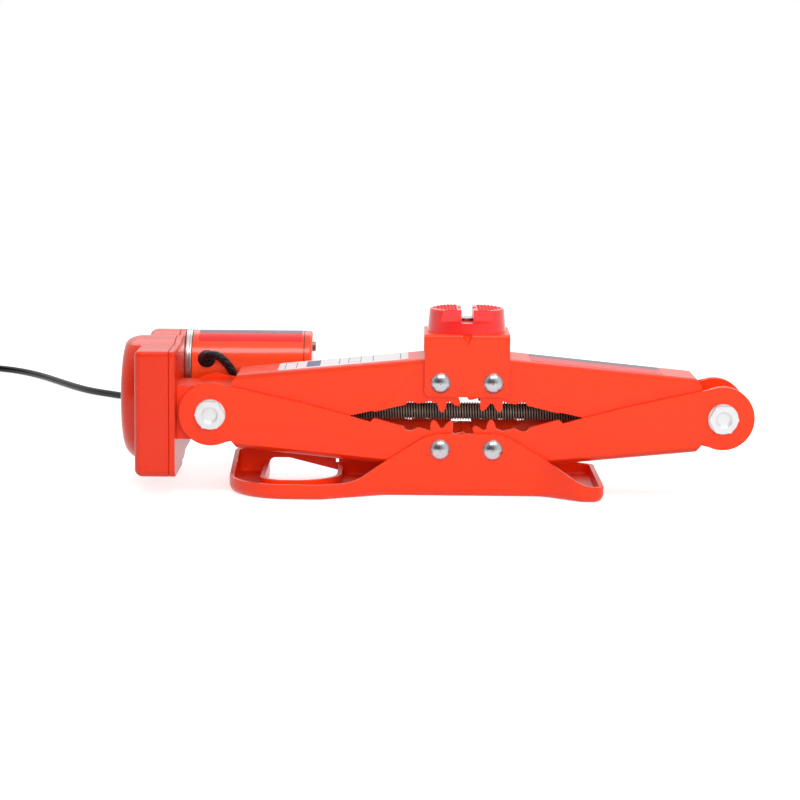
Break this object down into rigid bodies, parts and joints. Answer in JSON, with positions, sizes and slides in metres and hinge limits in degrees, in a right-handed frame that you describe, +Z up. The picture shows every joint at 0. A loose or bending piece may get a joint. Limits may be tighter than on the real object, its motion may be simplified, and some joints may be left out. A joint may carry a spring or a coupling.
{
  "type": "electric car jack",
  "caption": "Scissor jack with a stamped foot, geared channel arms, slotted saddle, lead screw, side gearbox with an electric motor, and a cord ending in a car socket plug.",
  "frame": {"origin": "on the ground under the saddle, in the middle of the foot's width", "axes": "+X along the lead screw, away from the gearbox; +Y to the side where the motor lies; +Z up"},
  "size_m": [0.6823, 0.6794, 0.12],
  "materials": {
    "red_paint": "gloss paint",
    "red_cast": "gloss paint",
    "red_motor": "gloss paint",
    "cap_red": "satin paint",
    "bright_steel": "polished",
    "ring_steel": "zinc plated",
    "dark_steel": "black oxide",
    "gear_steel": "machined",
    "magnet_iron": "sintered",
    "bush_brass": "turned",
    "black_rubber": "matt",
    "black_plastic": "moulded"
  },
  "bodies": {
    "base": {"base_plate": "red_paint", "base_rivets": "bright_steel", "power_cord": "black_rubber", "cord_coil": "black_rubber", "coil_tie": "black_plastic", "plug_lead": "black_rubber", "plug_body": "black_plastic", "plug_tip": "bright_steel"},
    "lower_left_arm": {"lower_left_arm": "red_paint"},
    "left_trunnion": {"left_trunnion": "red_paint", "left_hinge_bolts": "bright_steel", "thrust_washer": "dark_steel", "gearbox_housing": "red_cast", "gearbox_cover": "red_cast", "gearbox_screws": "bright_steel", "trunnion_screws": "bright_steel", "wheel_axle": "dark_steel", "motor_ring": "ring_steel", "motor_can": "red_motor", "motor_end_cap": "red_motor", "motor_magnets": "magnet_iron", "shaft_bushes": "bush_brass", "cord_grommet": "black_rubber", "motor_lead": "black_rubber"},
    "upper_left_arm": {"upper_left_arm": "red_paint"},
    "saddle": {"saddle_bracket": "red_paint", "saddle_rivets": "bright_steel", "saddle_cap": "cap_red", "saddle_screw": "bright_steel"},
    "lower_right_arm": {"lower_right_arm": "red_paint"},
    "right_trunnion": {"right_trunnion": "red_paint", "right_hinge_bolts": "bright_steel"},
    "upper_right_arm": {"upper_right_arm": "red_paint"},
    "screw": {"lead_screw": "dark_steel", "screw_gear": "gear_steel", "screw_collar": "dark_steel"},
    "wheel": {"reduction_wheel": "gear_steel"},
    "rotor": {"motor_pinion": "gear_steel", "motor_shaft": "dark_steel", "armature": "dark_steel"}
  },
  "joints": [
    {"name": "fold", "type": "hinge", "parent": "base", "child": "lower_left_arm", "pos_m": [-0.017, 0, 0.03061], "axis": [0, 1, 0], "range_deg": [0, 57.3]},
    {"name": "left_trunnion_level", "type": "hinge", "parent": "lower_left_arm", "child": "left_trunnion", "pos_m": [-0.16547, 0, 0.052], "axis": [0, 1, 0], "range_deg": [-57.3, 0]},
    {"name": "upper_left_fold", "type": "hinge", "parent": "left_trunnion", "child": "upper_left_arm", "pos_m": [-0.16547, 0, 0.052], "axis": [0, 1, 0], "range_deg": [-57.3, 0]},
    {"name": "saddle_level", "type": "hinge", "parent": "upper_left_arm", "child": "saddle", "pos_m": [-0.017, 0, 0.07339], "axis": [0, 1, 0], "range_deg": [0, 57.3]},
    {"name": "lower_right_fold", "type": "hinge", "parent": "base", "child": "lower_right_arm", "pos_m": [0.017, 0, 0.03061], "axis": [0, 1, 0], "range_deg": [-57.3, 0]},
    {"name": "right_trunnion_level", "type": "hinge", "parent": "lower_right_arm", "child": "right_trunnion", "pos_m": [0.16547, 0, 0.052], "axis": [0, 1, 0], "range_deg": [0, 57.3]},
    {"name": "upper_right_fold", "type": "hinge", "parent": "right_trunnion", "child": "upper_right_arm", "pos_m": [0.16547, 0, 0.052], "axis": [0, 1, 0], "range_deg": [0, 57.3]},
    {"name": "rotor_spin", "type": "hinge", "parent": "left_trunnion", "child": "rotor", "pos_m": [-0.16, 0.06122, 0.07118], "axis": [1, 0, 0], "continuous": true},
    {"name": "wheel_spin", "type": "hinge", "parent": "left_trunnion", "child": "wheel", "pos_m": [-0.2, 0.028, 0.05729], "axis": [1, 0, 0], "continuous": true},
    {"name": "screw_spin", "type": "hinge", "parent": "left_trunnion", "child": "screw", "pos_m": [0, 0, 0.052], "axis": [1, 0, 0], "continuous": true}
  ],
  "couplings": [
    {"joint": "left_trunnion_level", "follows": "fold", "ratio": -1},
    {"joint": "upper_left_fold", "follows": "fold", "ratio": -1},
    {"joint": "saddle_level", "follows": "fold", "ratio": 1},
    {"joint": "lower_right_fold", "follows": "fold", "ratio": -1},
    {"joint": "right_trunnion_level", "follows": "fold", "ratio": 1},
    {"joint": "upper_right_fold", "follows": "fold", "ratio": 1},
    {"joint": "wheel_spin", "follows": "rotor_spin", "ratio": -0.14286},
    {"joint": "screw_spin", "follows": "rotor_spin", "ratio": 0.044335}
  ]
}
